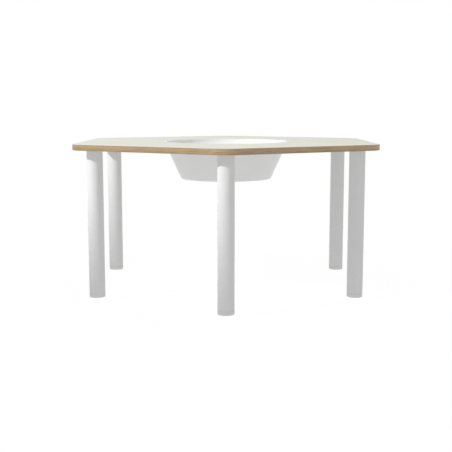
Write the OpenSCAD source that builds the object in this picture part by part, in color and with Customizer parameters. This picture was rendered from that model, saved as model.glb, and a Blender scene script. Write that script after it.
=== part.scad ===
// Hexagonal play table for small children: a laminated birch plywood top on six
// tubular steel legs, with a round lift-out basin dropped into its middle.
// Millimetres, +Z up, origin on the floor under the table's centre. The front
// corner of the hexagon points along -Y and two of its flats face +X and -X.

/* [Table] */
// Height of the top's upper surface above the floor
table_h = 530; // [460:1:600]
// Width of the hexagonal top across two opposite flats
across_flats = 1048; // [960:1:1200]
// Plan radius of the top's six corners
corner_r = 82; // [30:1:120]
// Distance from the sharp corner of the hexagon in to the leg's axis
leg_inset = 87; // [70:1:140]

/* [Top] */
// Thickness of the plywood core
core_t = 18; // [16:0.5:30]
// Thickness of the laminate on each face of the core
laminate_t = 0.9; // [0.6:0.1:1.5]

/* [Basin] */
// Outside diameter of the basin's rim
basin_d = 459; // [400:1:600]
// Outside diameter of the basin's wall, measured at its floor
basin_floor_d = 332; // [220:1:400]
// Depth of the basin's underside below the table's surface
basin_depth = 138; // [80:1:200]
// Thickness of the basin's wall and floor
basin_wall = 3; // [2:0.1:4]
// Outside radius where the wall turns into the floor
basin_bend_r = 8; // [5:0.5:20]
// Depth below the table's surface at which the straight collar ends and the taper starts
collar_h = 10; // [6:0.5:18]
// Width of the rim outside the collar
rim_w = 5; // [4:0.5:12]
// Thickness of the rim, which lies flush with the table's surface
rim_t = 3; // [2:0.1:4]
// Radius of the rim's inner edge, where a hand goes in
rim_edge_r = 2; // [0.5:0.1:2.5]
// Radius of the rim's outer edge, next to the table's surface
rim_outer_edge_r = 0.8; // [0.3:0.1:1.5]

/* [Legs] */
// Outside diameter of a leg tube
leg_d = 55; // [50:0.5:60]
// Wall thickness of a leg tube
leg_wall = 2; // [1.5:0.1:2.5]
// Height of the hub that the tube slides over
hub_h = 40; // [30:1:60]
// Wall thickness of the hub's socket
hub_wall = 5; // [4:0.1:5.5]
// Thickness of the hub's floor against the top's underside
hub_floor_t = 6; // [4.5:0.1:8]
// Diameter of the circle that the hub's screws stand on
hub_screw_circle_d = 28; // [22:0.5:29]

/* [Fasteners] */
// Diameter of a hub screw
hub_screw_d = 4.5; // [3.5:0.1:5]
// Diameter of a hub screw's countersunk head
hub_screw_head_d = 8.5; // [7.5:0.1:9]
// Length of a hub screw inside the plywood
hub_screw_bite = 13; // [8:0.5:14]
// Diameter of the lock screw that holds the tube on its hub
lock_screw_d = 6; // [5:0.5:8]
// Distance from the top's underside down to the lock screw
lock_screw_drop = 20; // [14:0.5:24]
// Width across flats of the lock screw's key socket
lock_key_af = 3; // [2:0.5:3.5]
// Depth that the lock screw's end lies below the tube's surface
lock_screw_sink = 0.5; // [0.2:0.1:1]

/* [Feet] */
// Height of a foot pad
foot_h = 12.5; // [11:0.5:20]
// Chamfer round the bottom edge of a foot pad
foot_chamfer = 1; // [0.5:0.1:2]
// Distance that a foot screws out to level the table
foot_travel = 15; // [5:1:20]
// Diameter of the foot's threaded stud
stud_d = 10; // [8:0.5:12]
// Width across flats of the stud's head and of its nut
hex_af = 17; // [15:0.5:19]
// Height of the stud's head
stud_head_h = 6.4; // [5:0.1:7]
// Height of the nut inside the plug
nut_h = 8; // [6:0.5:10]
// Distance from the plug's lower face up to its nut
nut_depth = 5; // [2:0.5:8]
// Length of stud that still stands above the nut when the foot is screwed right out
stud_spare = 3; // [1:0.5:6]
// Height of the plug inside the tube
plug_h = 30; // [24:1:45]
// Thickness of the plug's flange under the tube's end
plug_flange_t = 1.2; // [1:0.1:3]

/* [Clearances] */
// Gap round the basin's collar in the top's cut-out
basin_clear = 1; // [0.5:0.1:3]
// Gap round the basin's rim in its rebate
rim_clear = 0.5; // [0.3:0.1:1.5]
// Gap between a moving piece and the face that it rests on
seat_gap = 0.3; // [0.2:0.05:0.4]
// Radial clearance between the tube and what slides into it
slip_clear = 0.1; // [0.05:0.05:0.3]
// Radial clearance between a screw or nut and its hole
screw_clear = 0.05; // [0.02:0.01:0.1]

/* [Hidden] */
CORNERS = ["front", "front_right", "back_right", "back", "back_left", "front_left"];
LEG_PIECES = ["leg_tube", "leg_hub", "hub_screws", "lock_screw",
              "foot_plug", "plug_nut", "foot_stud", "foot_pad"];

round_fn = 96;
bend_steps = 8;
corner_steps = 15;
overshoot = 1;
hub_screw_count = 4;

ivory = "#e2e2d8";
birch = "#c9ab78";
backing = "#d9d8d0";
basin_white = "#f6f6f5";
coat_white = "#f2f2f1";
plastic_white = "#ececea";
zinc = "#9ea2a6";
steel = "#b9bcc0";

// Heights of the top's layers
core_top_z = table_h - laminate_t;
core_bottom_z = core_top_z - core_t;
underside_z = core_bottom_z - laminate_t;

// Plan of the top
flat_r = across_flats / 2;
corner_centre_r = (flat_r - corner_r) / cos(30);
leg_circle_r = flat_r / cos(30) - leg_inset;

// Basin and the cut-out that it hangs in
rim_r = basin_d / 2;
collar_r = rim_r - rim_w;
collar_bore_r = collar_r - basin_wall;
collar_bottom_z = table_h - collar_h;
cutout_r = collar_r + basin_clear;
rebate_r = rim_r + rim_clear;
rebate_floor_z = table_h - rim_t - seat_gap;
basin_bottom_z = table_h - basin_depth;
wall_lean = atan((collar_r - basin_floor_d / 2) / (basin_depth - collar_h));
bore_corner_z = collar_bottom_z + basin_wall * tan(wall_lean / 2);

// Leg tube and what sits inside its ends
leg_r = leg_d / 2;
tube_bore_r = leg_r - leg_wall;
spigot_r = tube_bore_r - slip_clear;
plug_bottom_z = foot_h + seat_gap;
tube_bottom_z = plug_bottom_z + plug_flange_t;
hub_bottom_z = underside_z - hub_h;
hub_face_z = underside_z - hub_floor_t;
lock_screw_z = underside_z - lock_screw_drop;
lock_screw_inner_r = spigot_r - hub_wall;
lock_screw_outer_r = leg_r - lock_screw_sink;

// Foot: the stud's head sits in the pad, and the nut sits high in the plug
pad_pocket_floor_z = foot_h - stud_head_h - seat_gap;
stud_head_top_z = pad_pocket_floor_z + stud_head_h;
nut_bottom_z = plug_bottom_z + nut_depth;
nut_top_z = nut_bottom_z + nut_h;
stud_top_z = nut_top_z + foot_travel + stud_spare;

// Radius of the basin's tapered outer wall at height z
function wall_r(z) = collar_r - (collar_bottom_z - z) * tan(wall_lean);

// Points of an arc about centre c, from angle a to angle b
function arc(c, r, a, b, steps = bend_steps) = [
    for (i = [0:steps])
        let (t = a + (b - a) * i / steps)
        [c.x + r * cos(t), c.y + r * sin(t)]
];

// Half section of the basin, from the axis out to the rim and back inside
function basin_section() =
    let (bend_z = basin_bottom_z + basin_bend_r)
    let (bend = [wall_r(bend_z) - basin_bend_r / cos(wall_lean), bend_z])
    let (edge = [collar_bore_r + rim_edge_r, table_h - rim_edge_r])
    let (under_z = table_h - rim_t)
    let (lip = [rim_r - rim_outer_edge_r, table_h - rim_outer_edge_r])
    concat(
        [[0, basin_bottom_z]],
        arc(bend, basin_bend_r, -90, -wall_lean),
        [[collar_r, collar_bottom_z], [collar_r, under_z], [rim_r, under_z]],
        arc(lip, rim_outer_edge_r, 0, 90),
        arc(edge, rim_edge_r, 90, 180),
        [[collar_bore_r, bore_corner_z]],
        arc(bend, basin_bend_r - basin_wall, -wall_lean, -90),
        [[0, basin_bottom_z + basin_wall]]
    );

// Turns its children to corner i, with X pointing out along the corner
module at_corner(i) {
    rotate([0, 0, -90 + 60 * i]) children();
}

// Places its children on the axis of leg i
module at_leg(i) {
    at_corner(i) translate([leg_circle_r, 0, 0]) children();
}

// A vertical cylinder from height z0 to z1
module rod(r, z0, z1) {
    translate([0, 0, z0]) cylinder(h = z1 - z0, r = r, $fn = round_fn);
}

// A hexagonal bar of width af across flats, from height z0 to z1
module hex_bar(af, z0, z1) {
    translate([0, 0, z0]) cylinder(h = z1 - z0, d = af / cos(30), $fn = 6);
}

// The top's outline, a hexagon with round corners, from height z0 to z1
module top_plate(z0, z1) {
    outline = [
        for (i = [0:5])
            let (a = -90 + 60 * i)
            each arc(corner_centre_r * [cos(a), sin(a)], corner_r, a - 30, a + 30, corner_steps)
    ];
    translate([0, 0, z0]) linear_extrude(z1 - z0) polygon(outline);
}

// Places its children at each screw of the hub
module at_hub_screws() {
    for (k = [0:hub_screw_count - 1])
        rotate([0, 0, 45 + k * 360 / hub_screw_count])
            translate([hub_screw_circle_d / 2, 0, 0]) children();
}

// The space that a hub screw takes up, grown by a clearance
module hub_screw_body(clear) {
    head_r = hub_screw_head_d / 2 + clear;
    shank_r = hub_screw_d / 2 + clear;
    translate([0, 0, hub_face_z])
        cylinder(h = head_r - shank_r, r1 = head_r, r2 = shank_r, $fn = round_fn);
    rod(shank_r, hub_face_z, core_bottom_z + hub_screw_bite + clear);
}

// Plywood core, with the cut-out and rebate for the basin and the screws' holes
module top_core() {
    color(birch) difference() {
        top_plate(core_bottom_z, core_top_z);
        rod(cutout_r, core_bottom_z - overshoot, core_top_z + overshoot);
        rod(rebate_r, rebate_floor_z, core_top_z + overshoot);
        for (i = [0:5]) at_leg(i) at_hub_screws() hub_screw_body(screw_clear);
    }
}

// Laminate on the upper face, cut to the rebate
module top_laminate() {
    color(ivory) difference() {
        top_plate(core_top_z, table_h);
        rod(rebate_r, core_top_z - overshoot, table_h + overshoot);
    }
}

// Balancing laminate on the lower face, cut to the cut-out and drilled for screws
module bottom_laminate() {
    color(backing) difference() {
        top_plate(underside_z, core_bottom_z);
        rod(cutout_r, underside_z - overshoot, core_bottom_z + overshoot);
        for (i = [0:5]) at_leg(i) at_hub_screws() hub_screw_body(screw_clear);
    }
}

// Tapered basin with a flat floor, a short straight collar and a rim that hangs in the rebate
module basin() {
    color(basin_white) rotate_extrude($fn = round_fn) polygon(basin_section());
}

// Steel tube with a hole for the lock screw on the side facing the middle
module leg_tube() {
    color(coat_white) difference() {
        rod(leg_r, tube_bottom_z, underside_z);
        rod(tube_bore_r, tube_bottom_z - overshoot, underside_z + overshoot);
        translate([0, 0, lock_screw_z]) rotate([0, -90, 0])
            cylinder(h = leg_r + overshoot, r = lock_screw_d / 2 + screw_clear, $fn = round_fn);
    }
}

// Die-cast hub, a cup screwed to the underside that the tube slides over
module leg_hub() {
    color(zinc) difference() {
        rod(spigot_r, hub_bottom_z, underside_z);
        rod(spigot_r - hub_wall, hub_bottom_z - overshoot, hub_face_z);
        at_hub_screws() hub_screw_body(screw_clear);
        translate([0, 0, lock_screw_z]) rotate([0, -90, 0])
            cylinder(h = leg_r, r = lock_screw_d / 2 + screw_clear, $fn = round_fn);
    }
}

// Countersunk screws with a cross recess, up through the hub into the plywood
module hub_screws() {
    recess_l = hub_screw_head_d * 0.55;
    recess_w = hub_screw_d * 0.25;
    recess_h = hub_screw_d * 0.35;
    color(steel) at_hub_screws() difference() {
        hub_screw_body(0);
        for (a = [0, 90])
            translate([0, 0, hub_face_z]) rotate([0, 0, a])
                cube([recess_l, recess_w, 2 * recess_h], center = true);
    }
}

// Set screw from the tube's outer face into the hub, with a hexagonal key socket
module lock_screw() {
    color(steel) translate([0, 0, lock_screw_z]) rotate([0, -90, 0]) difference() {
        rod(lock_screw_d / 2, lock_screw_inner_r, lock_screw_outer_r);
        hex_bar(lock_key_af, lock_screw_outer_r - lock_key_af, lock_screw_outer_r + overshoot);
    }
}

// Plastic plug in the tube's lower end, with a pocket for the nut
module foot_plug() {
    color(plastic_white) difference() {
        union() {
            rod(leg_r, plug_bottom_z, tube_bottom_z);
            rod(spigot_r, tube_bottom_z, plug_bottom_z + plug_h);
        }
        hex_bar(hex_af + 2 * screw_clear, plug_bottom_z - overshoot, nut_top_z);
        rod(stud_d / 2 + seat_gap, plug_bottom_z, plug_bottom_z + plug_h + overshoot);
    }
}

// Nut pressed up into the plug's pocket, which carries the foot's stud
module plug_nut() {
    color(steel) difference() {
        hex_bar(hex_af, nut_bottom_z, nut_top_z);
        rod(stud_d / 2 + screw_clear, nut_bottom_z - overshoot, nut_top_z + overshoot);
    }
}

// Threaded stud with a hexagonal head pressed into the pad
module foot_stud() {
    color(steel) union() {
        hex_bar(hex_af, pad_pocket_floor_z, stud_head_top_z);
        rod(stud_d / 2, pad_pocket_floor_z, stud_top_z);
    }
}

// Foot pad of the tube's own diameter, which carries the leg on the floor
module foot_pad() {
    color(plastic_white) difference() {
        union() {
            cylinder(h = foot_chamfer, r1 = leg_r - foot_chamfer, r2 = leg_r, $fn = round_fn);
            rod(leg_r, foot_chamfer, foot_h);
        }
        hex_bar(hex_af + 2 * screw_clear, pad_pocket_floor_z, foot_h + overshoot);
    }
}

top_core();
top_laminate();
bottom_laminate();
basin();
for (i = [0:5]) {
    at_leg(i) leg_tube();
    at_leg(i) leg_hub();
    at_leg(i) hub_screws();
    at_leg(i) lock_screw();
    at_leg(i) foot_plug();
    at_leg(i) plug_nut();
    at_leg(i) foot_stud();
    at_leg(i) foot_pad();
}
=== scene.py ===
"""Looks of a low hexagonal play table with a lift-out basin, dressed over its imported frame.

Metres, in the frame's own axes: +Z is up, the floor is at 0, and the front corner lies along -Y.
The file follows the table as it is put together, and ends with the studio that it stands in.
"""

import math

import bmesh
import bpy
import numpy as np
from mathutils import Matrix, Vector


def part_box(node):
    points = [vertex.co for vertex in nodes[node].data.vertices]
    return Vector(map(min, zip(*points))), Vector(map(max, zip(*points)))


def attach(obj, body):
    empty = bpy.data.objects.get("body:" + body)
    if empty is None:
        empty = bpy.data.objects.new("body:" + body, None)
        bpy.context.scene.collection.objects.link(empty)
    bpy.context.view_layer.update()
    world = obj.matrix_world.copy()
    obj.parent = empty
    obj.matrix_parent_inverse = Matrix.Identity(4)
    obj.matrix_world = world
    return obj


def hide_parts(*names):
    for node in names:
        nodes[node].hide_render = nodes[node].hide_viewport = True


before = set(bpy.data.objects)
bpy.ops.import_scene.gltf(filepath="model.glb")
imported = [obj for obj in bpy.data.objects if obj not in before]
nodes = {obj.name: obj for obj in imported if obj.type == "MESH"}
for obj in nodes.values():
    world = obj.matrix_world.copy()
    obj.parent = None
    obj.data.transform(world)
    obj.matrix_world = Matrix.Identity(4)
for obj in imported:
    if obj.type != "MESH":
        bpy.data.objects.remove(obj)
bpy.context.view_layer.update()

# Plywood core of the top. The real piece is one board of thirteen crossed birch plies, cut to a
# hexagon with round corners, rebated for the basin's rim and lacquered on its bare edges. Pilot
# holes for the leg hubs' screws go up into it from below.
MM = 0.001
CORNERS = ["front", "front_right", "back_right", "back", "back_left", "front_left"]
SHARP_FROM = math.radians(35)
corner_r = 82 * MM
board_steps = (20, 28)
ply_count = 13
rim_play = 0.5 * MM
ledge_w = 4 * MM
rebate_depth = 3.3 * MM
pilot_circle_r = 14 * MM
pilot_r = 2.3 * MM
pilot_spare = 0.05 * MM
cutter_past = 1 * MM
core_lo, core_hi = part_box("top_core")
flat_r = core_hi.x
basin_lo, basin_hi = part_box("basin")
rim_r = basin_hi.x
rebate_r = rim_r + rim_play
cutout_r = rim_r - ledge_w
rebate_floor_z = basin_hi.z - rebate_depth


def hexagon_angles(flat, corner, arc_steps, flat_steps):
    """Polar angles of points round a hexagon with round corners, the first corner along -Y.

    A corner's arc turns evenly through 60 degrees about a centre (flat - corner) / cos 30 out from
    the middle, and each flat is divided evenly between the arcs at its ends.
    """
    centre = (flat - corner) / math.cos(math.radians(30))
    turn = np.radians(np.linspace(-30, 30, arc_steps, endpoint=False))
    arc = np.arctan2(corner * np.sin(turn), centre + corner * np.cos(turn))
    along = np.linspace(-centre / 2, centre / 2, flat_steps, endpoint=False)
    side = math.radians(30) + np.arctan2(along, flat)
    starts = np.radians(-90 + 60 * np.arange(6))
    return (starts[:, None] + np.concatenate([arc, side])).ravel()


def hexagon_radius(angle, flat, corner):
    """Distance from the middle to a round-cornered hexagon at polar angles.

    With f the angle from the nearest corner, c the distance of the corner arc's centre and r its
    radius, it is c cos f + sqrt(r^2 - c^2 sin^2 f) on the arc, and flat / cos(30 - f) on the flat.
    """
    off = np.abs((angle + math.radians(120)) % math.radians(60) - math.radians(30))
    centre = (flat - corner) / math.cos(math.radians(30))
    touch = math.atan2(corner / 2, centre + corner * math.cos(math.radians(30)))
    arc = centre * np.cos(off) + np.sqrt(np.maximum(corner**2 - (centre * np.sin(off))**2, 0))
    return np.where(off < touch, arc, flat / np.cos(math.radians(30) - off))


def ring(radius, angle, height):
    """A closed row of points: radius times (cos, sin) of each polar angle, at one height."""
    reach = np.broadcast_to(radius, angle.shape)
    level = np.full(angle.shape, height)
    return np.column_stack([reach * np.cos(angle), reach * np.sin(angle), level])


def add_piece(name, points, faces):
    """A new object from an array of points and a list of faces, smooth except at sharp edges."""
    mesh = bpy.data.meshes.new(name)
    mesh.from_pydata(points, [], faces)
    mesh.shade_smooth()
    mesh.set_sharp_from_angle(angle=SHARP_FROM)
    piece = bpy.data.objects.new(name, mesh)
    bpy.context.scene.collection.objects.link(piece)
    return piece


def hoop_quads(grid):
    """Quads of a grid of point numbers: point j of row i is joined to point j + 1 and to row i + 1,
    both counted round, so that the surface closes on itself like a hoop."""
    beside = np.roll(grid, -1, axis=1)
    return np.stack([grid, beside, np.roll(beside, -1, axis=0), np.roll(grid, -1, axis=0)], -1)


def loft(rings):
    """Points and faces of a surface through rings, whose last ring is joined to the first."""
    grid = np.arange(len(rings) * len(rings[0])).reshape(len(rings), -1)
    return np.concatenate(rings), hoop_quads(grid).reshape(-1, 4).tolist()


def plate(name, edge, hole):
    """A hexagonal plate with a round hole: rings inset from the outline, then rings of the hole."""
    angle = hexagon_angles(flat_r, corner_r, *board_steps)
    outer = [ring(hexagon_radius(angle, flat_r - inset, corner_r - inset), angle, z)
             for inset, z in edge]
    inner = [ring(radius, angle, z) for radius, z in hole]
    return add_piece(name, *loft(outer + inner))


def leg_axis(corner):
    """The place in plan of a leg's axis, the middle of its tube's box."""
    low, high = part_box("leg_tube_" + corner)
    return np.array([(low.x + high.x) / 2, (low.y + high.y) / 2, 0])


def pilot_cutter(low, high):
    """Rods where the hub screws go, as one closed mesh.

    Four stand round each leg's axis, 90 degrees apart, and the fours turn by 60 degrees from leg
    to leg. Each rod is two rings of points, a wall of quads between them and a flat face at
    either end.
    """
    angle = np.radians(np.arange(0, 360, 15))
    leg = np.arange(len(CORNERS))[:, None]
    screw = np.arange(4)
    turn = np.radians(45 + 90 * screw + 60 * leg)
    axes = np.array([leg_axis(corner) for corner in CORNERS])
    aside = np.stack([np.cos(turn), np.sin(turn), 0 * turn], axis=-1)
    spots = (axes[:, None, :] + pilot_circle_r * aside).reshape(-1, 1, 3)
    rod = np.concatenate([ring(pilot_r, angle, low), ring(pilot_r, angle, high)])
    points = (spots + rod).reshape(-1, 3)
    around = np.arange(len(angle))
    beside = np.roll(around, -1)
    wall = np.stack([around, beside, beside + len(angle), around + len(angle)], axis=-1).tolist()
    faces = wall + [around[::-1].tolist(), (around + len(angle)).tolist()]
    every = [[i + k * len(rod) for i in face] for k in range(len(spots)) for face in faces]
    return add_piece("pilot_cutter", points, every)


def drill(piece, low, high):
    """Cuts the pilot holes between two heights out of a piece and keeps the cut mesh."""
    cutter = pilot_cutter(low, high)
    cut = piece.modifiers.new("pilot_holes", "BOOLEAN")
    cut.object = cutter
    cut.solver = "EXACT"
    whole = piece.evaluated_get(bpy.context.evaluated_depsgraph_get())
    drilled = bpy.data.meshes.new_from_object(whole)
    drilled.set_sharp_from_angle(angle=SHARP_FROM)
    piece.modifiers.clear()
    piece.data = drilled
    bpy.data.objects.remove(cutter)


def new_material(name, **sockets):
    """A material with one Principled shader, whose plain sockets are set by name. Returns both."""
    material = bpy.data.materials.new(name)
    material.use_nodes = True
    shader = material.node_tree.nodes["Principled BSDF"]
    for socket, value in sockets.items():
        shader.inputs[socket.replace("_", " ")].default_value = value
    return material, shader


def add_node(material, kind, inputs, output=0, **settings):
    """Adds a shader node, links or sets its inputs by name or number, and returns one output."""
    tree = material.node_tree
    made = tree.nodes.new("ShaderNode" + kind)
    for setting, value in settings.items():
        setattr(made, setting, value)
    for socket, value in inputs.items():
        if isinstance(value, bpy.types.NodeSocket):
            tree.links.new(value, made.inputs[socket])
        else:
            made.inputs[socket].default_value = value
    return made.outputs[output]


def maths(material, operation, a, b=0.0):
    """One Math node on one or two values."""
    return add_node(material, "Math", {0: a, 1: b}, operation=operation)


def blend_value(material, share, a, b):
    """One Mix node on plain values: a where the share is 0, and b where it is 1."""
    return add_node(material, "Mix", {0: share, 2: a, 3: b})


def blend_colour(material, share, a, b, how="MIX"):
    """One Mix node on colours: a where the share is 0, and b, or a changed by b, where it is 1."""
    inputs = {0: share, 6: a, 7: b}
    return add_node(material, "Mix", inputs, output=2, data_type="RGBA", blend_type=how)


def coordinate(material, letter, kind="Object"):
    """The X, Y or Z of a point in Object coordinates, or of another kind that is named."""
    where = add_node(material, "TexCoord", {}, output=kind)
    return add_node(material, "SeparateXYZ", {0: where}, output=letter)


def place(material, scale=(1, 1, 1)):
    """Object coordinates stretched along each axis by the given factors."""
    where = add_node(material, "TexCoord", {}, output="Object")
    return add_node(material, "Mapping", {"Vector": where, "Scale": scale})


def noise(material, vector, scale, detail=3.0, rough=0.5):
    """Fractal noise between 0 and 1 with about one bump for each 1 / scale metres."""
    inputs = {"Vector": vector, "Scale": scale, "Detail": detail, "Roughness": rough}
    return add_node(material, "TexNoise", inputs)


def spread(material, value, low, high, out_low, out_high, smooth=False):
    """A value carried from one range to another, and held at its ends."""
    ranges = {"From Min": low, "From Max": high, "To Min": out_low, "To Max": out_high}
    way = "SMOOTHSTEP" if smooth else "LINEAR"
    return add_node(material, "MapRange", {"Value": value, **ranges}, interpolation_type=way)


def colour(red, green, blue):
    """A colour as a screen shows it, 0 to 255, turned into the linear values that a node takes."""
    shown = np.array([red, green, blue]) / 255
    linear = np.where(shown <= 0.04045, shown / 12.92, ((shown + 0.055) / 1.055)**2.4)
    return (*linear.tolist(), 1.0)


def emboss(material, shader, height, depth, strength=1.0):
    """Bump of a height between 0 and 1 that stands for the given depth in metres."""
    bump = add_node(material, "Bump", {"Strength": strength, "Distance": depth, "Height": height})
    material.node_tree.links.new(bump, shader.inputs["Normal"])


def feed(material, shader, **values):
    """Links outputs to the shader's sockets by name."""
    for socket, value in values.items():
        material.node_tree.links.new(value, shader.inputs[socket.replace("_", " ")])


def birch_ply():
    """Lacquered edge of crossed plies. The height gives a ply's number: odd ones run along X and
    even ones along Y. End grain is darker, and a dark glue line parts two plies."""
    material, shader = new_material("birch_ply", Specular_IOR_Level=0.2, Coat_Weight=0.03,
                                    Coat_Roughness=0.35)
    above = maths(material, "SUBTRACT", coordinate(material, "Z"), core_lo.z)
    layers = maths(material, "DIVIDE", above, (core_hi.z - core_lo.z) / ply_count)
    number = maths(material, "FLOOR", layers)
    within = maths(material, "FRACT", layers)
    odd = maths(material, "MODULO", number, 2.0)

    # Grain: each ply's streaks are long along its own fibres and moved by its number.
    fibre, pore = 26, 900
    move_x, move_y = 0.37, 0.71
    shift = add_node(material, "CombineXYZ", {"X": maths(material, "MULTIPLY", number, move_x),
                                              "Y": maths(material, "MULTIPLY", number, move_y)})
    streaks = []
    for stretch in ((fibre, pore, pore), (pore, fibre, pore)):
        inputs = {0: place(material, stretch), 1: shift}
        moved = add_node(material, "VectorMath", inputs, operation="ADD")
        streaks.append(noise(material, moved, 1.0, detail=5.0, rough=0.62))
    grain = blend_value(material, odd, streaks[1], streaks[0])
    end_x = maths(material, "ABSOLUTE", coordinate(material, "X", "Normal"))
    end_y = maths(material, "ABSOLUTE", coordinate(material, "Y", "Normal"))
    end = blend_value(material, odd, end_y, end_x)
    pale = blend_colour(material, grain, colour(192, 168, 136), colour(241, 223, 194))
    dark = blend_colour(material, grain, colour(126, 103, 74), colour(204, 179, 146))
    wood = blend_colour(material, spread(material, end, 0.45, 0.95, 0.0, 0.75), pale, dark)

    # Tone: each ply has its own, and a painted shade darkens the lower plies, so that the upper
    # ones are brighter.
    tone = add_node(material, "TexWhiteNoise", {"W": number}, noise_dimensions="1D")
    tone_and_painted_shade = maths(material, "MULTIPLY", spread(material, tone, 0, 1, 0.88, 1.06),
                   spread(material, layers, 0, ply_count, 0.88, 1.1))
    tone_and_painted_shade = add_node(material, "CombineColor", {0: tone_and_painted_shade, 1: tone_and_painted_shade, 2: tone_and_painted_shade})
    wood = blend_colour(material, 1.0, wood, tone_and_painted_shade, "MULTIPLY")

    # Figure: olive and rosy stretches along a ply, then a darker stretch to the left of the front
    # corner, and painted shade that tones down the lamp's light on the left, strongest at the
    # board's left end and less and less to the right.
    figure_scale, move_figure = (13, 13, 0), 17.3
    darker_stretch_starts, darker_stretch_ends = (-0.38, -0.24), (-0.1, 0.02)
    darker_stretch_share, painted_shade_share = 0.2, 0.66
    moved = maths(material, "MULTIPLY", number, move_figure)
    inputs = {0: place(material, figure_scale), 1: add_node(material, "CombineXYZ", {"Z": moved})}
    figure = noise(material, add_node(material, "VectorMath", inputs, operation="ADD"), 1.0)
    olive = spread(material, figure, 0.36, 0.54, 0.9, 0.0)
    wood = blend_colour(material, olive, wood, colour(212, 202, 170), "MULTIPLY")
    rosy = spread(material, figure, 0.46, 0.64, 0.0, 0.9)
    wood = blend_colour(material, rosy, wood, colour(255, 240, 222), "MULTIPLY")
    across = coordinate(material, "X")
    darker_stretch = maths(material, "MINIMUM", spread(material, across, *darker_stretch_starts, 0.0, darker_stretch_share),
                  spread(material, across, *darker_stretch_ends, darker_stretch_share, 0.0))
    # Painted shade: the edge darker at the board's left end, less and less to the right.
    side = spread(material, across, core_lo.x, core_hi.x, painted_shade_share, 0.0)
    darker_stretch_and_painted_shade = maths(material, "ADD", darker_stretch, side)
    wood = blend_colour(material, darker_stretch_and_painted_shade, wood, colour(204, 200, 196), "MULTIPLY")

    # Glue lines, by the distance from the nearer face of the ply in shares of its thickness.
    glue_full, glue_end = 0.035, 0.11
    gap = maths(material, "MINIMUM", within, maths(material, "SUBTRACT", 1.0, within))
    glue = spread(material, gap, glue_full, glue_end, 0.75, 0.0)
    wood = blend_colour(material, glue, wood, colour(104, 76, 48))
    rough = spread(material, grain, 0.3, 0.7, 0.5, 0.38)
    feed(material, shader, Base_Color=wood, Roughness=rough)
    height = maths(material, "SUBTRACT", grain, maths(material, "MULTIPLY", glue, 0.6))
    emboss(material, shader, height, depth=0.06 * MM, strength=0.5)
    return material


edge = [(0, core_lo.z), (0, core_hi.z)]
hole = [(rebate_r, core_hi.z), (rebate_r, rebate_floor_z),
        (cutout_r, rebate_floor_z), (cutout_r, core_lo.z)]
core = plate("plywood_core", edge, hole)
pilot_top_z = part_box("hub_screws_front")[1].z + pilot_spare
drill(core, core_lo.z - cutter_past, pilot_top_z)
core.data.materials.append(birch_ply())
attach(core, "table")
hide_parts("top_core")

# Laminates of the top. The real pieces are sheets of paper and resin pressed under heat: a pale
# ivory one bonded to the upper face and a plain backing one to the lower. Their edges are trimmed
# flush with the core and eased, which bares the brown paper under the colour.
arris = 0.45 * MM
hole_arris = 0.2 * MM
skin_t = 0.16 * MM
land = 6 * MM
ivory_colour = colour(227, 227, 216)
backing_colour = colour(217, 217, 213)
top_lo, top_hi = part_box("top_laminate")
back_lo, back_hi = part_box("bottom_laminate")


def eased(corners, steps=5, guard=0.3 * MM, most=0.75):
    """A path through corners (x, z, radius), each rounded by an arc of that radius.

    The arc touches both runs at radius / tan(half the corner's angle) from the corner. A guard
    point just past each end of the arc keeps the runs beside it flat when they are shaded smooth.
    It is left out where it would lie past the given share of the run.
    """
    points = np.array(corners, float)
    path = [points[0, :2]]
    for before, at, after in zip(points[:-2], points[1:-1], points[2:]):
        corner = at[:2]
        radius = at[2]
        back = before[:2] - corner
        on = after[:2] - corner
        length_back = np.linalg.norm(back)
        length_on = np.linalg.norm(on)
        back = back / length_back
        on = on / length_on
        half = math.acos(np.clip(back @ on, -1, 1)) / 2
        reach = radius / math.tan(half)
        middle = corner + (back + on) / np.linalg.norm(back + on) * radius / math.sin(half)
        first = (corner + back * reach - middle) / radius
        last = (corner + on * reach - middle) / radius
        span = math.pi - 2 * half
        share = np.linspace(0, 1, steps + 1)[:, None]
        turned_by = np.sin((1 - share) * span) * first + np.sin(share * span) * last
        if reach + guard < most * length_back:
            path.append(corner + back * (reach + guard))
        path.extend(middle + radius * turned_by / math.sin(span))
        if reach + guard < most * length_on:
            path.append(corner + on * (reach + guard))
    path.append(points[-1, :2])
    return np.array(path)


def laminate(name, face, face_z, spec):
    """Matt decorative sheet over brown core paper: the face's colour reaches one skin deep from the
    height of the face, with faint clouding, a fine stipple and wiped patches in the gloss."""
    material, shader = new_material(name, Specular_IOR_Level=spec)
    under = maths(material, "SUBTRACT", coordinate(material, "Z"), face_z)
    below = maths(material, "GREATER_THAN", maths(material, "ABSOLUTE", under), skin_t)
    cloud = noise(material, place(material), 14.0, detail=4.0)
    fleck = noise(material, place(material), 900.0, detail=2.0)
    deeper = tuple(0.94 * c for c in face[:3]) + (1.0,)
    shade = blend_colour(material, spread(material, cloud, 0.35, 0.7, 0.0, 0.45), face, deeper)
    shade = blend_colour(material, spread(material, fleck, 0.6, 0.75, 0.0, 0.35), shade, deeper)
    paper = blend_colour(material, noise(material, place(material, (300, 300, 9000)), 1.0),
                         colour(158, 128, 94), colour(184, 155, 119))
    wiped = noise(material, place(material), 5.0)
    stipple = noise(material, place(material), 1700.0, detail=2.0)
    feed(material, shader, Base_Color=blend_colour(material, below, shade, paper),
         Roughness=spread(material, wiped, 0.3, 0.7, 0.46, 0.58))
    emboss(material, shader, stipple, depth=0.02 * MM, strength=0.35)
    return material


edge = eased([(0, top_lo.z, 0), (0, top_hi.z, arris), (land, top_hi.z, 0)])
hole = eased([(rebate_r + land, top_hi.z, 0), (rebate_r, top_hi.z, hole_arris),
              (rebate_r, top_lo.z, 0)])
ivory = plate("ivory_laminate", edge, hole)
ivory.data.materials.append(laminate("laminate_ivory", ivory_colour, top_hi.z, spec=0.12))
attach(ivory, "table")
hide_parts("top_laminate")

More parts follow.
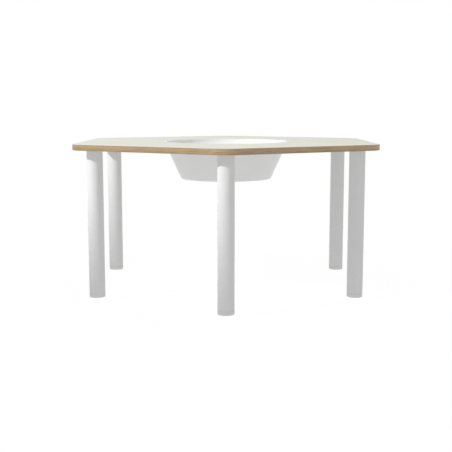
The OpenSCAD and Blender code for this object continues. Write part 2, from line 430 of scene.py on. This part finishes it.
edge = eased([(land, back_lo.z, 0), (0, back_lo.z, arris), (0, back_hi.z, 0)])
hole = eased([(cutout_r, back_hi.z, 0), (cutout_r, back_lo.z, hole_arris),
              (cutout_r + land, back_lo.z, 0)])
backing = plate("backing_laminate", edge, hole)
drill(backing, back_lo.z - cutter_past, back_hi.z + cutter_past)
backing.data.materials.append(laminate("laminate_backing", backing_colour, back_lo.z, spec=0.3))
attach(backing, "table")
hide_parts("bottom_laminate")

# Leg hubs. The real pieces are light alloy die castings, tumbled to a grey satin: cups screwed
# to the underside, one under each corner, with the tubes slid over them.


def cast_alloy():
    """Tumbled casting: grey metal with soft clouds, a pebbled skin and paler rubbed spots."""
    material, shader = new_material("cast_hub", Metallic=1.0)
    cloud = noise(material, place(material), 60.0, detail=4.0)
    pebble = noise(material, place(material), 1500.0, detail=2.0)
    grey = blend_colour(material, cloud, colour(146, 149, 153), colour(178, 181, 184))
    rubbed = spread(material, pebble, 0.6, 0.75, 0.0, 0.5)
    grey = blend_colour(material, rubbed, grey, colour(204, 206, 208))
    feed(material, shader, Base_Color=grey, Roughness=spread(material, cloud, 0.3, 0.7, 0.42, 0.62))
    emboss(material, shader, pebble, depth=0.05 * MM, strength=0.6)
    return material


hub_finish = cast_alloy()
for corner in CORNERS:
    nodes["leg_hub_" + corner].data.materials[0] = hub_finish

# Hub screws, lock screws and nuts. The real pieces are turned or cold-headed steel with a bright
# zinc plating: four countersunk screws through each hub into the plywood, one set screw through
# each tube's inner side, and one hexagonal nut pressed up into each foot plug.


def zinc_plate():
    """Bright zinc plating: a cool metal with a faint blue and straw cast, fine drawn lines and
    dulled spots."""
    material, shader = new_material("screw_steel", Metallic=1.0)
    cast = noise(material, place(material), 120.0, detail=3.0)
    drawn = noise(material, place(material, (220, 220, 5200)), 1.0, detail=2.0)
    plated = blend_colour(material, spread(material, cast, 0.35, 0.65, 0.0, 1.0),
                          colour(190, 196, 204), colour(206, 203, 192))
    dull = spread(material, noise(material, place(material), 420.0), 0.55, 0.7, 0.0, 0.4)
    feed(material, shader, Base_Color=blend_colour(material, dull, plated, colour(164, 167, 170)),
         Roughness=spread(material, drawn, 0.3, 0.7, 0.24, 0.4))
    emboss(material, shader, drawn, depth=0.01 * MM, strength=0.5)
    return material


steel_finish = zinc_plate()
for corner in CORNERS:
    for part in ("hub_screws_", "lock_screw_", "plug_nut_"):
        nodes[part + corner].data.materials[0] = steel_finish

# Leg tubes. The real pieces are 55 mm steel tubes with a 2 mm wall, sawn square, deburred, drilled
# for the lock screw on the side that faces the table's middle, and powder coated in white.
tube_r = (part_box("leg_tube_front")[1].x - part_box("leg_tube_front")[0].x) / 2
tube_wall = 2 * MM
tube_edge_r = 0.25 * MM
tube_edge_steps = 3
tube_columns = 128
hole_cells = 3
patch_cells = 10
lock_hole_r = 3.05 * MM
scuff_full_z = 15 * MM
scuff_end_z = 110 * MM


def tube_path(outer, inner, low, high, hole_rows):
    """Section of a tube's wall as (radius, height) points: up the outside and down the inside, with
    the same rows of points past the hole on both sides."""
    middle = (inner + outer) / 2
    hole_z = hole_rows.mean()
    foot = eased([(middle, low, 0), (outer, low, tube_edge_r), (outer, hole_z, 0)],
                 tube_edge_steps)[:-1]
    head = eased([(outer, hole_z, 0), (outer, high, tube_edge_r), (inner, high, tube_edge_r),
                  (inner, hole_z, 0)], tube_edge_steps)[1:-1]
    heel = eased([(inner, hole_z, 0), (inner, low, tube_edge_r), (middle, low, 0)],
                 tube_edge_steps)[1:-1]
    up = np.column_stack([np.full(len(hole_rows), outer), hole_rows])
    down = np.column_stack([np.full(len(hole_rows), inner), hole_rows[::-1]])
    starts = (len(foot), len(foot) + len(up) + len(head))
    return np.concatenate([foot, up, head, down, heel]), starts


def drilled_tube(corner, turn):
    """Points and faces of a tube with a round hole in its wall, on the side facing the middle.

    Round the hole, a point at (across, rise) from its middle is drawn from its place on a square
    to a circle of that square's size, the more the nearer it is, so the block of cells that is
    left out has a round rim. A ring of faces joins the outer and the inner rim.
    """
    low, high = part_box("leg_tube_" + corner)
    lock_lo, lock_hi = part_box("lock_screw_" + corner)
    hole_z = (lock_lo.z + lock_hi.z) / 2
    step = 2 * math.pi / tube_columns
    cell = tube_r * step
    rows = hole_z + cell * np.arange(-patch_cells, patch_cells + 1)
    path, starts = tube_path(tube_r, tube_r - tube_wall, low.z, high.z, rows)
    radius, height = path[:, :1], path[:, 1:]
    off = (np.arange(tube_columns) - tube_columns // 2) * step
    u = off / (hole_cells * step) + 0 * radius
    v = (height - hole_z) / (hole_cells * cell) + 0 * off
    size = np.maximum(np.abs(u), np.abs(v))
    away = np.maximum(np.hypot(u, v), 1e-9)
    far = np.clip((size - 1) / (patch_cells / hole_cells - 1), 0, 1)
    across = far * radius * off + (1 - far) * lock_hole_r * size * u / away
    rise = far * (height - hole_z) + (1 - far) * lock_hole_r * size * v / away
    angle = turn + math.pi + across / radius
    middle = leg_axis(corner)
    points = np.stack([middle[0] + radius * np.cos(angle), middle[1] + radius * np.sin(angle),
                       hole_z + rise], axis=-1)
    grid = np.arange(len(path) * tube_columns).reshape(-1, tube_columns)
    quads = hoop_quads(grid)

    # Row and column of each point round the square block of cells that makes way for the hole.
    side = 2 * hole_cells
    bottom = patch_cells - hole_cells
    left = tube_columns // 2 - hole_cells
    first, last = np.zeros(side, int), np.full(side, side)
    onward, back = np.arange(side), np.arange(side, 0, -1)
    row = np.concatenate([first, onward, last, back])
    column = left + np.concatenate([onward, last, back, first])
    outside = grid[starts[0] + bottom + row, column]
    inside = grid[starts[1] + bottom + side - row, column]
    keep = np.ones(grid.shape, bool)
    for start in starts:
        keep[start + bottom:start + bottom + side, left:left + side] = False
    rim = np.stack([outside, np.roll(outside, -1), np.roll(inside, -1), inside], axis=-1)
    used, faces = np.unique(np.concatenate([quads[keep], rim]), return_inverse=True)
    return points.reshape(-1, 3)[used], faces.reshape(-1, 4).tolist()


def powder_coat():
    """White powder coat: an even satin white with a fine orange peel, and faint scuffs that start
    at one height above the floor and are full from another one down."""
    material, shader = new_material("coated_steel", Specular_IOR_Level=0.12)
    cloud = noise(material, place(material), 25.0, detail=3.0)
    coat = blend_colour(material, spread(material, cloud, 0.35, 0.7, 0.0, 0.5),
                        colour(226, 226, 226), colour(222, 222, 221))
    low = spread(material, coordinate(material, "Z"), scuff_full_z, scuff_end_z, 1.0, 0.0,
                 smooth=True)
    rub = noise(material, place(material, (90, 90, 420)), 1.0, detail=4.0)
    scuff = maths(material, "MULTIPLY", low, spread(material, rub, 0.62, 0.72, 0.0, 0.5))
    coat = blend_colour(material, scuff, coat, colour(196, 195, 192))
    gloss = spread(material, noise(material, place(material), 240.0), 0.3, 0.7, 0.36, 0.46)
    rough = maths(material, "ADD", gloss, maths(material, "MULTIPLY", scuff, 0.2))
    feed(material, shader, Base_Color=coat, Roughness=rough)
    peel = noise(material, place(material), 700.0, detail=2.0)
    emboss(material, shader, peel, depth=0.03 * MM, strength=0.25)
    return material


coat_finish = powder_coat()
for number, corner in enumerate(CORNERS):
    tube = add_piece("tube_" + corner, *drilled_tube(corner, math.radians(-90 + 60 * number)))
    tube.data.materials.append(coat_finish)
    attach(tube, "table")
    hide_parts("leg_tube_" + corner)

# Foot plugs and foot pads. The real pieces are moulded in white nylon: a plug knocked into each
# tube's lower end, whose thin flange shows under the tube, and a round pad of the tube's own
# diameter that stands on the floor, with a pocket in its upper face for the stud's head.
pad_edge_r = 0.3 * MM
pad_chamfer = 1.2 * MM
pad_face_r = 0.6 * tube_r
pad_worn_h = 3 * MM
pocket_af = 17.1 * MM
pocket_corner_r = 1 * MM
pocket_edge_r = 0.3 * MM
pocket_steps = (6, 12)


def moulded_nylon():
    """Moulded nylon: a dull white with faint flow clouds, a fine spark-eroded skin and rubbed lower
    edges."""
    material, shader = new_material("foot_plastic", Specular_IOR_Level=0.15)
    flow = noise(material, place(material, (1, 1, 3)), 45.0, detail=3.0)
    skin = noise(material, place(material), 2200.0, detail=1.0)
    body = blend_colour(material, spread(material, flow, 0.35, 0.7, 0.0, 1.0),
                        colour(228, 228, 227), colour(223, 223, 222))
    low = spread(material, coordinate(material, "Z"), 0.0, pad_worn_h, 0.6, 0.0, smooth=True)
    patchy = spread(material, noise(material, place(material), 160.0), 0.5, 0.7, 0.0, 1.0)
    worn = maths(material, "MULTIPLY", low, patchy)
    feed(material, shader, Base_Color=blend_colour(material, worn, body, colour(198, 196, 192)),
         Roughness=spread(material, flow, 0.3, 0.7, 0.5, 0.6))
    emboss(material, shader, skin, depth=0.02 * MM, strength=0.5)
    return material


def turned(rings):
    """Points and faces of a closed surface through rings, whose first and last shrink to a pole.

    The rings between are joined by quads, and each pole to its nearest ring by a fan of triangles.
    """
    columns = len(rings[0])
    grid = 1 + np.arange((len(rings) - 2) * columns).reshape(-1, columns)
    beside = np.roll(grid, -1, axis=1)
    quads = np.stack([grid[:-1], beside[:-1], beside[1:], grid[1:]], axis=-1).reshape(-1, 4)
    last = grid.size + 1
    first_fan = np.stack([np.zeros(columns, int), beside[0], grid[0]], axis=-1)
    last_fan = np.stack([np.full(columns, last), grid[-1], beside[-1]], axis=-1)
    points = np.concatenate([rings[0][:1]] + list(rings[1:-1]) + [rings[-1][:1]])
    return points, quads.tolist() + first_fan.tolist() + last_fan.tolist()


nylon_finish = moulded_nylon()
for corner in CORNERS:
    nodes["foot_plug_" + corner].data.materials[0] = nylon_finish
    pad_lo, pad_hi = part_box("foot_pad_" + corner)
    stud_lo, stud_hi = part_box("foot_stud_" + corner)
    outline = eased([(0, pad_lo.z, 0), (tube_r - pad_chamfer, pad_lo.z, pad_edge_r),
                     (tube_r, pad_lo.z + pad_chamfer, pad_edge_r), (tube_r, pad_hi.z, pad_edge_r),
                     (pad_face_r, pad_hi.z, 0)])
    pocket = eased([(pocket_af, pad_hi.z, 0), (pocket_af / 2, pad_hi.z, pocket_edge_r),
                    (pocket_af / 2, stud_lo.z, pocket_edge_r), (0, stud_lo.z, 0)])[1:]
    around = hexagon_angles(pocket_af / 2, pocket_corner_r, *pocket_steps)
    rings = [ring(radius, around, z) for radius, z in outline]
    rings += [ring(hexagon_radius(around, radius, min(pocket_corner_r, radius / 2)), around, z)
              for radius, z in pocket[:-1]]
    rings += [ring(0, around, stud_lo.z)]
    pad = add_piece("pad_" + corner, *turned(rings))
    pad.data.transform(Matrix.Translation(leg_axis(corner)))
    pad.data.materials.append(nylon_finish)
    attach(pad, "foot_" + corner)
    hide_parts("foot_pad_" + corner)

# Foot studs. The real pieces are steel studs with an M10 thread of 1.5 mm pitch, rolled, and a
# hexagonal head that is pressed into the pad. Turning the pad screws the foot in or out.
pitch = 1.5 * MM
stud_r = 5 * MM
thread_depth = 0.92 * MM
stud_end_chamfer = 1 * MM
turn_steps = 36
head_af = 17 * MM
head_h = 6.4 * MM
head_corner_r = 0.4 * MM
head_steps = (4, 8)
head_bevel_h = 1 * MM
head_bevel_r = 0.53 * head_af
head_face_r = 0.48 * head_af
weld_gap = 0.001 * MM


def helical_thread(low, high):
    """Points and faces of a threaded rod between two heights, as one strip wound along a helix.

    At running height h the strip carries four points a pitch, the ends of the flat crest and of the
    flat root, and lies at height h and at the thread's radius. Past either end of the rod it stays
    at that end's height, and its radius shrinks to nothing, which closes the end face. The last
    point of a turn joins the first point of the next turn.
    """
    phase = np.array([0, 1 / 8, 7 / 16, 11 / 16])
    depth = np.array([0, 0, 1, 1]) * thread_depth
    closing = stud_r + pitch
    count = math.ceil((high - low + 2 * closing) / pitch) * turn_steps
    step = np.arange(count + turn_steps)
    run = low - closing + pitch * (step[:, None] / turn_steps + phase)
    past = np.maximum(np.maximum(low - run, run - high), 0)
    bevel = stud_r - stud_end_chamfer + np.clip(high - run, 0, stud_end_chamfer) - past
    radius = np.maximum(np.minimum(stud_r - depth, bevel), 0)
    angle = 2 * math.pi * step[:, None] / turn_steps
    height = np.clip(run, low, high)
    points = np.stack([radius * np.cos(angle), radius * np.sin(angle), height], axis=-1)
    grid = np.arange(run.size).reshape(-1, 4)
    wide = np.column_stack([grid[:count], grid[turn_steps:turn_steps + count, 0]])
    faces = np.stack([wide[:-1, :-1], wide[1:, :-1], wide[1:, 1:], wide[:-1, 1:]], axis=-1)
    return points.reshape(-1, 3), faces.reshape(-1, 4).tolist()


for corner in CORNERS:
    stud_lo, stud_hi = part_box("foot_stud_" + corner)
    head_top = stud_lo.z + head_h
    around = hexagon_angles(head_af / 2, head_corner_r, *head_steps)
    hexagon = hexagon_radius(around, head_af / 2, head_corner_r)
    bevel = np.minimum(hexagon, head_bevel_r)
    levels = [(0, 0), (head_face_r, 0), (bevel, head_bevel_h / 2), (hexagon, head_bevel_h)]
    rings = [ring(radius, around, stud_lo.z + rise) for radius, rise in levels]
    rings += [ring(radius, around, head_top - drop) for radius, drop in levels[::-1]]
    head_points, head_faces = turned(rings)
    rod_points, rod_faces = helical_thread(head_top, stud_hi.z)
    rod_faces = [[i + len(head_points) for i in face] for face in rod_faces]
    points = np.concatenate([head_points, rod_points])
    stud = add_piece("stud_" + corner, points, head_faces + rod_faces)
    shape = bmesh.new()
    shape.from_mesh(stud.data)
    bmesh.ops.remove_doubles(shape, verts=shape.verts, dist=weld_gap)
    loose = [vert for vert in shape.verts if not vert.link_faces]
    bmesh.ops.delete(shape, geom=loose, context="VERTS")
    shape.to_mesh(stud.data)
    shape.free()
    stud.data.transform(Matrix.Translation(leg_axis(corner)))
    stud.data.materials.append(steel_finish)
    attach(stud, "foot_" + corner)
    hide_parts("foot_stud_" + corner)

# Basin. The real piece is drawn hot from one 3 mm sheet of white plastic: a flat floor, a tapered
# wall, a short straight collar that centres it in the cut-out, and a rim that hangs in the rebate,
# flush with the table. It lies loose and lifts straight out.
basin_floor_r = 166 * MM
basin_wall = 3 * MM
collar_h = 10 * MM
rim_w = 5 * MM
rim_t = 3 * MM
basin_bend_r = 8 * MM
collar_bend_r = 9 * MM
rim_root_r = 0.6 * MM
rim_under_r = 0.5 * MM
rim_edge_r = 0.8 * MM
mouth_r = 2 * MM
floor_scuff_h = 8 * MM
basin_bend_steps = 8
basin_columns = 320
collar_r = rim_r - rim_w
collar_z = basin_hi.z - collar_h
lean = math.atan((collar_r - basin_floor_r) / (collar_z - basin_lo.z))
inner_floor_z = basin_lo.z + basin_wall
inner_floor_r = collar_r - (collar_z - inner_floor_z) * math.tan(lean) - basin_wall / math.cos(lean)
inner_collar_z = collar_z + basin_wall * math.tan(lean / 2)


def drawn_sheet():
    """White sheet plastic: a clean satin white with a slight orange peel from the drawing, finer
    wipes in its gloss, and faint grey scuffs on the floor inside."""
    material, shader = new_material("basin_plastic", Specular_IOR_Level=0.18)
    cloud = noise(material, place(material), 11.0, detail=3.0)
    white = blend_colour(material, spread(material, cloud, 0.35, 0.7, 0.0, 1.0),
                         colour(243, 243, 243), colour(241, 241, 240))
    low = spread(material, coordinate(material, "Z"), inner_floor_z, inner_floor_z + floor_scuff_h,
                 1.0, 0.0)
    rub = noise(material, place(material, (40, 160, 40)), 1.0, detail=5.0)
    scuff = maths(material, "MULTIPLY", low, spread(material, rub, 0.6, 0.75, 0.0, 0.35))
    white = blend_colour(material, scuff, white, colour(214, 214, 212))
    wiped = noise(material, place(material, (7, 7, 60)), 1.0, detail=4.0)
    gloss = spread(material, wiped, 0.3, 0.7, 0.3, 0.4)
    rough = maths(material, "ADD", gloss, maths(material, "MULTIPLY", scuff, 0.3))
    feed(material, shader, Base_Color=white, Roughness=rough)
    peel = noise(material, place(material), 320.0, detail=2.0)
    emboss(material, shader, peel, depth=0.05 * MM, strength=0.15)
    return material


section = eased([
    (0, basin_lo.z, 0),
    (basin_floor_r, basin_lo.z, basin_bend_r),
    (collar_r, collar_z, collar_bend_r),
    (collar_r, basin_hi.z - rim_t, rim_root_r),
    (rim_r, basin_hi.z - rim_t, rim_under_r),
    (rim_r, basin_hi.z, rim_edge_r),
    (collar_r - basin_wall, basin_hi.z, mouth_r),
    (collar_r - basin_wall, inner_collar_z, collar_bend_r - basin_wall),
    (inner_floor_r, inner_floor_z, basin_bend_r - basin_wall),
    (0, inner_floor_z, 0),
], basin_bend_steps)
around = np.linspace(0, 2 * math.pi, basin_columns, endpoint=False)
shell = add_piece("basin_shell", *turned([ring(radius, around, z) for radius, z in section]))
shell.data.materials.append(drawn_sheet())
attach(shell, "basin")
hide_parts("basin")

# Studio. A plain white sweep keeps a trace of the table's shadow, and lies a foot's travel lower
# than the feet, so that it has room for one that is screwed out. A pale room and the brighter sweep
# light the table evenly, and one spot lamp's round pool fades out down the legs.
camera_place = Vector((0, -3.18455, 0.65549))
camera_dip = math.radians(7.929)
camera_lens = 68.103
sensor = 36
room_light = 0.57
sweep_light = 0.75
floor_half = 40
floor_drop = 15.2 * MM
shadow_kept = 0.3
shadow_reach = 1.8
key_place = Vector((-6.1, -3.96, 5.02))
key_aim = Vector((0.411, 0.245, 0.45))
key_power = 1950
key_radius = 0.17
pool_radius = 0.812
pool_softness = 0.05

scene = bpy.context.scene
scene.view_settings.view_transform = "Standard"

camera_data = bpy.data.cameras.new("camera")
camera_data.lens = camera_lens
camera_data.sensor_width = sensor
camera = bpy.data.objects.new("camera", camera_data)
camera.location = camera_place
camera.rotation_euler = (math.pi / 2 - camera_dip, 0, 0)
scene.collection.objects.link(camera)
scene.camera = camera


def light_path(material, kind):
    """One output of a Light Path node: 1 for the rays that it names, and 0 for all others."""
    return add_node(material, "LightPath", {}, output=kind)


def seen_rays(material):
    """1 for rays that the eye, a gloss or a clear piece sends out, and 0 for all others."""
    seen = maths(material, "MAXIMUM", light_path(material, "Is Camera Ray"),
                 light_path(material, "Is Glossy Ray"))
    return maths(material, "MAXIMUM", seen, light_path(material, "Is Transmission Ray"))


def sweep():
    """White floor: it lights the table evenly, and is white with a trace of shadow when seen."""
    material, shader = new_material("white_floor", Base_Color=(1, 1, 1, 1), Roughness=1.0,
                                    Specular_IOR_Level=0.0, Emission_Color=(1, 1, 1, 1),
                                    Emission_Strength=1 - room_light)
    level = blend_value(material, seen_rays(material), sweep_light, 1.0)
    glow = add_node(material, "Emission", {"Strength": level})
    where = place(material)
    away = add_node(material, "VectorMath", {0: where}, output="Value", operation="LENGTH")
    near = spread(material, away, shadow_reach / 2, shadow_reach, shadow_kept, 0.0, smooth=True)
    kept = maths(material, "MULTIPLY", light_path(material, "Is Camera Ray"), near)
    mixed = add_node(material, "MixShader", {0: kept, 1: glow, 2: shader.outputs[0]})
    tree = material.node_tree
    tree.links.new(mixed, tree.nodes["Material Output"].inputs[0])
    return material


square = floor_half * np.array([(-1, -1, 0), (1, -1, 0), (1, 1, 0), (-1, 1, 0)])
floor = add_piece("floor", square - [0, 0, floor_drop], [[0, 1, 2, 3]])
floor.data.materials.append(sweep())

world = bpy.data.worlds.new("white_room")
world.use_nodes = True
scene.world = world
background = world.node_tree.nodes["Background"]
background.inputs["Color"].default_value = (1, 1, 1, 1)
level = blend_value(world, seen_rays(world), room_light, 1.0)
world.node_tree.links.new(level, background.inputs["Strength"])

key_data = bpy.data.lights.new("key", "SPOT")
key_data.energy = key_power
key_data.shadow_soft_size = key_radius
key_data.spot_size = 2 * math.atan(pool_radius / (key_place - key_aim).length)
key_data.spot_blend = pool_softness
key = bpy.data.objects.new("key", key_data)
key.location = key_place
key.rotation_euler = (key_place - key_aim).to_track_quat("Z", "Y").to_euler()
scene.collection.objects.link(key)
